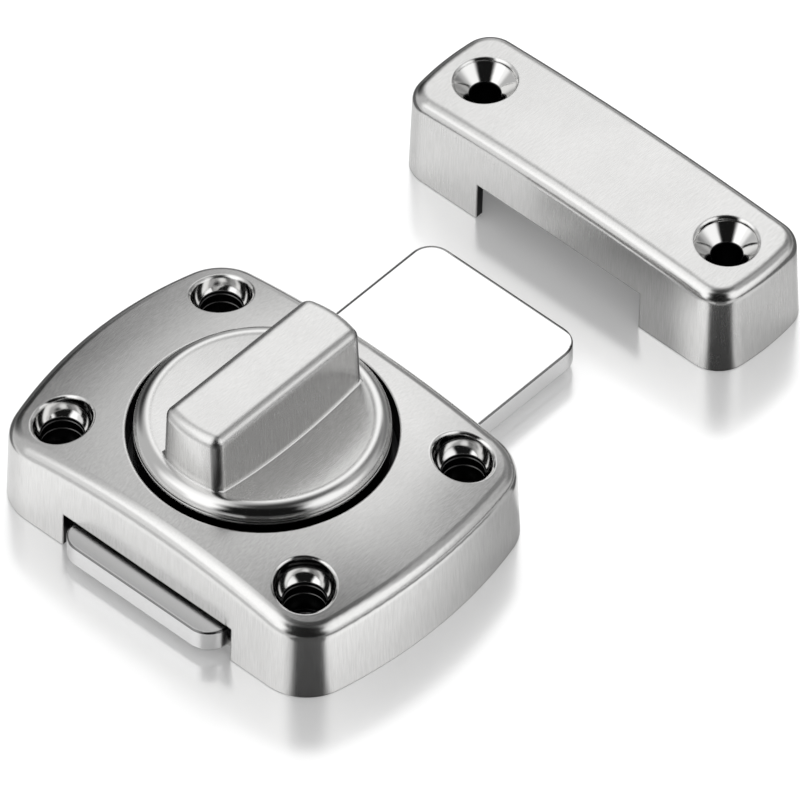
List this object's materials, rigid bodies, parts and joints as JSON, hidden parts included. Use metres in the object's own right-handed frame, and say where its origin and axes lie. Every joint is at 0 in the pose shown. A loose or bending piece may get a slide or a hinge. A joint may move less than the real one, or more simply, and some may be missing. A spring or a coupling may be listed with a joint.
{
  "type": "rotary bolt latch",
  "caption": "Surface-mounted turn-knob bolt latch: crowned cast housing, bar-grip knob, flat sliding bolt and a separate cast keeper.",
  "frame": {"origin": "on the mounting surface, below the knob's axis, at the centre of the housing's screw pattern", "axes": "+X the way the bolt throws, towards the keeper; +Z out of the mounting surface, along the knob's axis; +Y across the bolt"},
  "size_m": [0.0934, 0.0574, 0.025],
  "materials": {
    "satin_nickel": "satin, fine vertical brushing, polished round the holes and rims",
    "stainless_plate": "polished flat faces, sheared edges",
    "zinc_steel": "dull zinc plate",
    "bright_steel": "ground",
    "nylon": "natural"
  },
  "bodies": {
    "housing_body": {"housing": "satin_nickel", "back_plate": "zinc_steel", "back_plate_screw_1": "zinc_steel", "back_plate_screw_2": "zinc_steel", "thrust_washer": "nylon", "keeper": "satin_nickel"},
    "knob_body": {"knob": "satin_nickel", "crank": "zinc_steel", "crank_pin": "bright_steel", "wave_washer": "bright_steel", "detent_ball": "bright_steel", "detent_spring": "bright_steel"},
    "bolt_body": {"bolt": "stainless_plate"}
  },
  "joints": [
    {"name": "knob_turn", "type": "hinge", "parent": "housing_body", "child": "knob_body", "pos_m": [0, 0, 0.0129], "axis": [0, 0, 1], "range_deg": [0, 90]},
    {"name": "bolt_slide", "type": "slide", "parent": "housing_body", "child": "bolt_body", "axis": [-1, 0, 0], "range_m": [0, 0.0206]}
  ],
  "couplings": [
    {"joint": "bolt_slide", "follows": "knob_turn", "m_per_rad": 0.01311}
  ]
}
